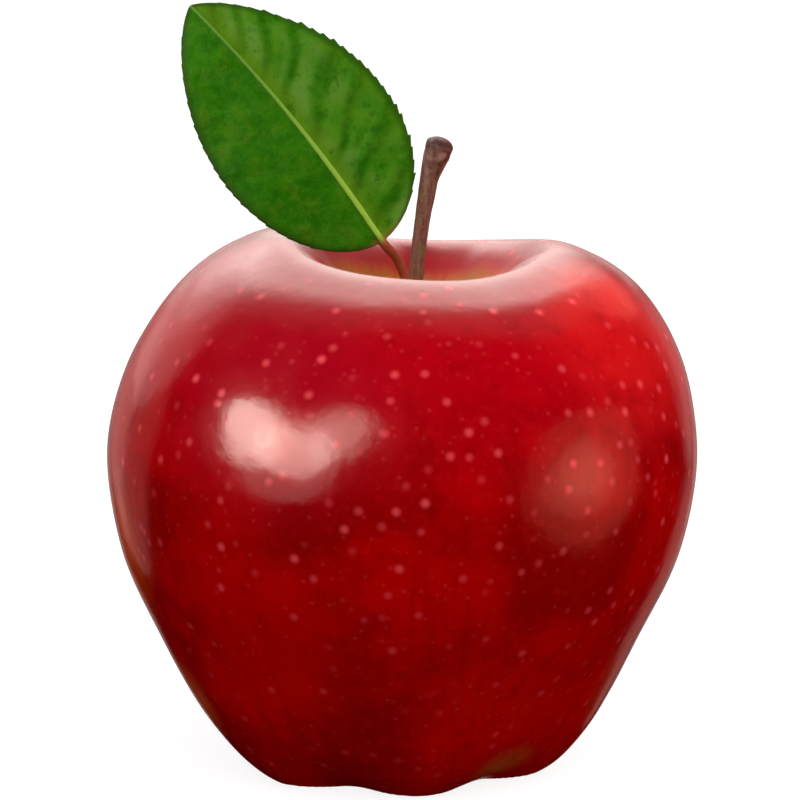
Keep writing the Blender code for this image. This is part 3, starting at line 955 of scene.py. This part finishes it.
# %% The blade
def sheet_faces(row_count, column_count):
    """Faces of two grids of points, the upper one first, joined round their edge."""
    faces = []
    under = row_count * column_count
    for i in range(row_count - 1):
        for j in range(column_count - 1):
            a, b = i * column_count + j, (i + 1) * column_count + j
            faces.append((a, b, b + 1, a + 1))
            faces.append((under + a + 1, under + b + 1, under + b, under + a))
    edge = [i * column_count for i in range(row_count)]
    edge += [(row_count - 1) * column_count + j for j in range(1, column_count)]
    edge += [i * column_count + column_count - 1 for i in range(row_count - 2, -1, -1)]
    edge += list(range(column_count - 2, 0, -1))
    for a, b in zip(edge, edge[1:] + edge[:1]):
        faces.append((b, a, under + a, under + b))
    return faces


shifted = side + LEAF_SWEEP * arch
upper_face = np.stack([along, shifted, above], axis=1)
lower_face = np.stack([along, shifted, below], axis=1)
points = np.concatenate([upper_face, lower_face]) @ leaf_frame + np.array(LEAF_BASE)
leaf = new_piece("leaf_blade", points, sheet_faces(ROWS, COLUMNS))
print("the blade has", len(leaf.data.polygons), "faces")

# %% [markdown]
# The stalk comes up from the bud beside the stem and runs into the underside of the midrib. It is a
# tube along the solid model's route, joined to the blade with a Boolean so that the leaf is one body.

# %% The stalk
STALK_RADIUS = 0.6
STALK_ROUTE = [
    (0.9, -2.4, 60.2, 0.75 * STALK_RADIUS),
    (0.6, -2.6, 63.0, 0.95 * STALK_RADIUS),
    (-0.5, -3.3, 66.4, STALK_RADIUS),
]


def midrib_point(share, sink):
    """A point on the midrib, sunk that far below the blade's middle, in millimetres with a radius."""
    bend = 4 * share * (1 - share)
    local = np.array([LEAF_LENGTH * share, LEAF_SWEEP * bend, LEAF_BOW * bend]) / MM
    local[2] -= sink
    return (*(local @ leaf_frame + np.array(LEAF_BASE) / MM), STALK_RADIUS * (1 - 0.9 * share))


def join(body, other):
    """Makes the other object part of the body, as one closed mesh."""
    union = body.modifiers.new("Join", "BOOLEAN")
    union.operation = "UNION"
    union.object = other
    bpy.context.view_layer.update()
    graph = bpy.context.evaluated_depsgraph_get()
    joined = bpy.data.meshes.new_from_object(body.evaluated_get(graph), depsgraph=graph)
    body.modifiers.clear()
    body.data = joined
    bpy.data.objects.remove(other)
    joined.shade_smooth()


route = STALK_ROUTE + [midrib_point(0.0, 0.05), midrib_point(0.06, 0.15), midrib_point(0.14, 0.25)]
points, faces = tube(np.array(route) * MM, 70, 28)
join(leaf, new_piece("leaf_stalk", points, faces))
print("the leaf has", len(leaf.data.polygons), "faces")

# %% [markdown]
# The leaf's material needs to know where each point lies on the blade. The frame gives that back from
# the positions: how far along and across, which vein is near, and how far the margin is.

# %% Notes for the leaf's material
points = np.array([p.co for p in leaf.data.vertices])
local = (points - np.array(LEAF_BASE)) @ leaf_frame.T
u = np.clip(local[:, 0] / LEAF_LENGTH, 0.0005, 0.9995)
side = local[:, 1] - LEAF_SWEEP * 4 * u * (1 - u)
note(leaf, "along", local[:, 0] / MM)
note(leaf, "side", side / MM)
note(leaf, "vein", vein_turn(local[:, 0], side))
note(leaf, "margin", (half_width_at(u, side) - np.abs(side)) / MM)
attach(leaf, "root")
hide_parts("leaf")
leaf.visible_glossy = False
print("the leaf is", round(float(np.ptp(local[:, 0])) / MM, 1), "mm long with its stalk")

# %% [markdown]
# An apple leaf's upper face is a leathery deep green with a dull gloss from its cuticle. Side veins
# wander as they go, so slow noise shifts them. Between them lies a net of fine veins, about 0.9 mm
# wide, and the green is mottled in several sizes.

# %% The leaf's patterns
green, tree, shader = new_material("leathery_leaf", roughness=0.45, ior=1.42)
shader.inputs["Specular IOR Level"].default_value = 0.05
place = millimetres(tree)
along, side, count, margin = [
    add(tree, "Attribute", attribute_name=name).outputs["Fac"]
    for name in ("along", "side", "vein", "margin")
]

far = add(tree, "Math", {0: side}, operation="ABSOLUTE").outputs[0]
waver = add(tree, "TexNoise", {"Vector": place, "Scale": 1 / 7.0, "Detail": 1.0}).outputs[0]
wavering = add(tree, "Math", {0: waver, 1: 0.75, 2: count}, operation="MULTIPLY_ADD").outputs[0]
vein = add(tree, "Math", {0: wavering, 1: 0.5}, operation="PINGPONG").outputs[0]
sheen = add(tree, "TexNoise", {"Vector": place, "Scale": 1 / 6.0, "Detail": 2.0}).outputs[0]
inputs = {"Vector": place, "Scale": 1 / 3.5, "Detail": 4.0, "Roughness": 0.6}
mottle = add(tree, "TexNoise", inputs).outputs[0]
inputs = {"Vector": place, "Scale": 1 / 2.2, "Detail": 4.0, "Roughness": 0.7}
blotches = add(tree, "TexNoise", inputs).outputs[0]
fine = add(tree, "TexVoronoi", {"Vector": place, "Scale": 1 / 0.9}, feature="DISTANCE_TO_EDGE")
net = fade(tree, (fine.outputs["Distance"], 0.0, 0.12, 1.0, 0.0))
print("the leaf's patterns have", len(tree.nodes), "nodes")

# %% [markdown]
# The half beside the stem is painted paler, as if lit, and the other half darker, as if shaded: painted
# light and shade on one green. Its swellings have a painted greyish-green sheen in patches, and the
# hollows at its veins painted shade. The green is yellower by the midrib on the paler half, and the
# thin margin is darker.

# %% The upper face, with painted light and shade
# painted light and shade: the half beside the stem is painted lit, the outer half shaded
painted_lit_side = fade(tree, (side, -0.6, 0.8))
shaded_side_green = lay(tree, "#246602", "#347804", (mottle, 0.3, 0.7))
lit_side_green = lay(tree, "#34760a", "#4c8216", (mottle, 0.3, 0.7))
blade = lay(tree, shaded_side_green, lit_side_green, painted_lit_side)
# painted highlight: a greyish-green sheen on the swellings between the veins
painted_sheen_on_swells = fade(tree, (vein, 0.05, 0.40), (far, 0.5, 2.5), (far, 11.0, 5.0), (sheen, 0.38, 0.62))
blade = lay(tree, blade, "#6e963e", painted_sheen_on_swells, (painted_lit_side, 0.0, 1.0, 0.04, 0.58))
# painted shade in the hollows along the side veins
painted_shade_in_hollows = fade(tree, (vein, 0.0, 0.30, 1.0, 0.0), (sheen, 0.62, 0.40, 0.55, 1.0))
blade = lay(tree, blade, "#1a5400", painted_shade_in_hollows, (painted_lit_side, 0.0, 1.0, 0.22, 0.72))
blade = lay(tree, blade, "#6c8a14", (far, 3.2, 0.3, 0.0, 0.40), painted_lit_side)
net_share = add(tree, "Math", {0: net, 1: 0.05}, operation="MULTIPLY").outputs[0]
blade = lay(tree, blade, "#6a9a3c", net_share)
blade = lay(tree, blade, "#5c7c14", (blotches, 0.48, 0.66, 0.0, 0.38))
blade = lay(tree, blade, "#1a5400", (blotches, 0.48, 0.34, 0.0, 0.50))
blade = lay(tree, blade, "#2c500c", (margin, 0.1, 1.3, 0.85, 0.0))
print("the upper face has", len(tree.nodes), "nodes")

# %% [markdown]
# The midrib is a pale yellow green that narrows and darkens towards the tip. The underside is felted
# and paler, with light veins, and the stalk is flushed with red.

# %% The midrib, the underside and the stalk
rib_reach = fade(tree, (along, 0.0, 38.0, 0.40, 0.17))
rib = add(tree, "Math", {0: far, 1: rib_reach}, operation="DIVIDE").outputs[0]
rib_green = lay(tree, "#a4c848", "#6c963a", (along, 2.0, 34.0))
blade = lay(tree, blade, rib_green, (rib, 0.55, 1.1, 0.9, 0.0))

facing = add(tree, "TexCoord").outputs["Normal"]
upward = add(tree, "VectorMath", {0: facing, 1: leaf_out}, operation="DOT_PRODUCT").outputs["Value"]
under = lay(tree, "#6d8b4c", "#93ab6c", (vein, 0.0, 0.10, 0.7, 0.0))
under = lay(tree, under, "#a9bf7c", (rib, 0.7, 1.3, 0.9, 0.0))
blade = lay(tree, under, blade, (upward, -0.15, 0.15))
blade = lay(tree, blade, "#9c4f36", (along, 1.2, -0.8))
tree.links.new(blade, shader.inputs["Base Color"])

deep = add(tree, "Math", {0: blotches, 1: -2.5}, operation="MULTIPLY").outputs[0]
relief = add(tree, "Math", {0: net, 1: 0.15, 2: deep}, operation="MULTIPLY_ADD").outputs[0]
bump = add(tree, "Bump", {"Height": relief, "Strength": 0.6, "Distance": 0.12 * MM}, invert=True)
tree.links.new(bump.outputs[0], shader.inputs["Normal"])
tree.links.new(fade(tree, (mottle, 0.3, 0.7, 0.38, 0.52)), shader.inputs["Roughness"])
leaf.data.materials.append(green)
print("the leaf has", len(tree.nodes), "nodes")

# %% [markdown]
# ## The dried flower
#
# Under the apple, five sepals and a tuft of stamens are what is left of the flower. They dry to thin,
# curled, wrinkled scales. Each sepal is a small closed sheet, like the blade, that hangs from the
# basin's roof, bends in and turns out at its tip.

# %% The shape of a sepal
SEPAL_DROP = 4.3 * MM
SEPAL_WIDTH = 2.5 * MM
SEPAL_TIP = 0.12 * MM
SEPAL_THICKNESS = 0.4 * MM
SEPAL_FOOT = 2.9 * MM
BEND_IN = 1.35 * MM
BEND_RATE = 2.6
TURN_OUT = 1.1 * MM
SEPAL_GAP = 0.75 * MM  # below the roof
SEPAL_ROWS = 40
SEPAL_COLUMNS = 21
basin_roof = SECTION[-1][1] * HEIGHT

step, spread = np.linspace(0, 1, SEPAL_ROWS), np.linspace(-1, 1, SEPAL_COLUMNS)
u, v = [grid.ravel() for grid in np.meshgrid(step, spread, indexing="ij")]
half = SEPAL_WIDTH / 2 * (1 - u) ** 0.6 * (1 - 0.35 * u) + SEPAL_TIP
side = half * v
cup = 0.5 * side**2 / half
outward = SEPAL_FOOT - BEND_IN * np.sin(BEND_RATE * u) + TURN_OUT * u**3 - cup
flat = np.stack([outward, side, -SEPAL_DROP * u], axis=1)
sepal_faces = sheet_faces(SEPAL_ROWS, SEPAL_COLUMNS)
print("a sepal's tip is", round((basin_roof - SEPAL_GAP - SEPAL_DROP) / MM, 1), "mm above the table")

# %% [markdown]
# The same sheet is wrinkled differently for each of the five and turned to its place round the core.

# %% Five sepals
FIRST_SEPAL = 20  # degrees
SEPAL_COUNT = 5
WRINKLE = 0.10 * MM


def sepal(number):
    """One dried sepal, counted from 1, on its node."""
    turn = math.radians(FIRST_SEPAL + 360 / SEPAL_COUNT * (number - 1))
    wrinkle = WRINKLE * noise_at(flat * [1, 1, 0.4], 0.7 * MM, 3.0 * number)
    thick = SEPAL_THICKNESS / 2 * (1 - 0.5 * np.abs(v) ** 4) * (1 - 0.4 * u)
    outer = flat + np.stack([thick + wrinkle, 0 * u, 0 * u], axis=1)
    inner = flat + np.stack([wrinkle - thick, 0 * u, 0 * u], axis=1)
    cos, sin = math.cos(turn), math.sin(turn)
    spin = np.array([[cos, sin, 0], [-sin, cos, 0], [0, 0, 1]])
    points = np.concatenate([outer, inner]) @ spin + [LEAN_BASE, 0, basin_roof - SEPAL_GAP]
    made = new_piece(f"dried_sepal_{number}", points, sepal_faces)
    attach(made, "root")
    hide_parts(f"sepal_{number}")
    return made


sepals = [sepal(number) for number in range(1, SEPAL_COUNT + 1)]
print("there are", len(sepals), "sepals of", len(sepal_faces), "faces")

# %% [markdown]
# The stamens stand on a small button: six withered threads, each with a swollen tip. They are tubes,
# joined to the button one by one.

# %% Stamens
BUTTON = [(0.0, -0.6), (0.6, -0.6), (0.85, -0.5), (0.92, -0.3), (1.08, -0.08), (0.9, 0.0), (0.0, 0.0)]
BUTTON_GAP = 0.3 * MM  # below the roof
STAMEN_COUNT = 6
STAMEN_RING = 0.6  # millimetres, as the sizes below are
STAMEN_ROOT = 0.2
STAMEN_SPREAD = 1.25
STAMEN_REACH = (2.1, 2.4, 2.7)

stamen_top = basin_roof - BUTTON_GAP
button = smooth_curve(BUTTON, 30) * MM
button[:, 1] += stamen_top
points, faces = turned(button[::-1], 48)
points[:, 0] += LEAN_BASE
stamens = new_piece("withered_stamens", points, faces)
centre = np.array([LEAN_BASE, 0, stamen_top]) / MM
for i in range(STAMEN_COUNT):
    turn = 2 * math.pi * i / STAMEN_COUNT
    foot = np.array([math.cos(turn), math.sin(turn), 0]) * STAMEN_RING
    tip = foot * STAMEN_SPREAD - [0, 0, STAMEN_REACH[i % 3]]
    root, half_way = foot - [0, 0, STAMEN_ROOT], (foot + tip) / 2
    route = [(*(centre + root), 0.2), (*(centre + half_way), 0.14)]
    route += [(*(centre + 0.85 * tip), 0.17), (*(centre + tip), 0.24)]
    points, faces = tube(np.array(route) * MM, 24, 16)
    join(stamens, new_piece("thread", points, faces))
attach(stamens, "root")
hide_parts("stamens")
print("the stamens have", len(stamens.data.polygons), "faces")

# %% [markdown]
# Dried sepals are like brown paper: dull, fibrous, greyish where the down is left and nearly black in
# the folds.

# %% Dry tissue
dry, tree, shader = new_material("dried_flower_tissue", roughness=0.85, ior=1.40)
place = millimetres(tree)
fibres = add(tree, "VectorMath", {0: place, 1: (1, 1, 0.25)}, operation="MULTIPLY").outputs[0]
strands = add(tree, "TexNoise", {"Vector": fibres, "Scale": 1 / 0.35, "Detail": 4.0}).outputs[0]
tufts = add(tree, "TexNoise", {"Vector": place, "Scale": 1 / 1.2, "Detail": 3.0}).outputs[0]
brown = lay(tree, "#3b2a1c", "#7d6244", (strands, 0.35, 0.65))
brown = lay(tree, brown, "#a39a80", (tufts, 0.52, 0.70, 0.0, 0.6))
tree.links.new(brown, shader.inputs["Base Color"])
bump = add(tree, "Bump", {"Height": strands, "Strength": 0.7, "Distance": 0.1 * MM})
tree.links.new(bump.outputs[0], shader.inputs["Normal"])
tree.links.new(fade(tree, (tufts, 0.3, 0.7, 0.78, 0.92)), shader.inputs["Roughness"])
for piece in [*sepals, stamens]:
    piece.data.materials.append(dry)
print("the dry tissue has", len(tree.nodes), "nodes")
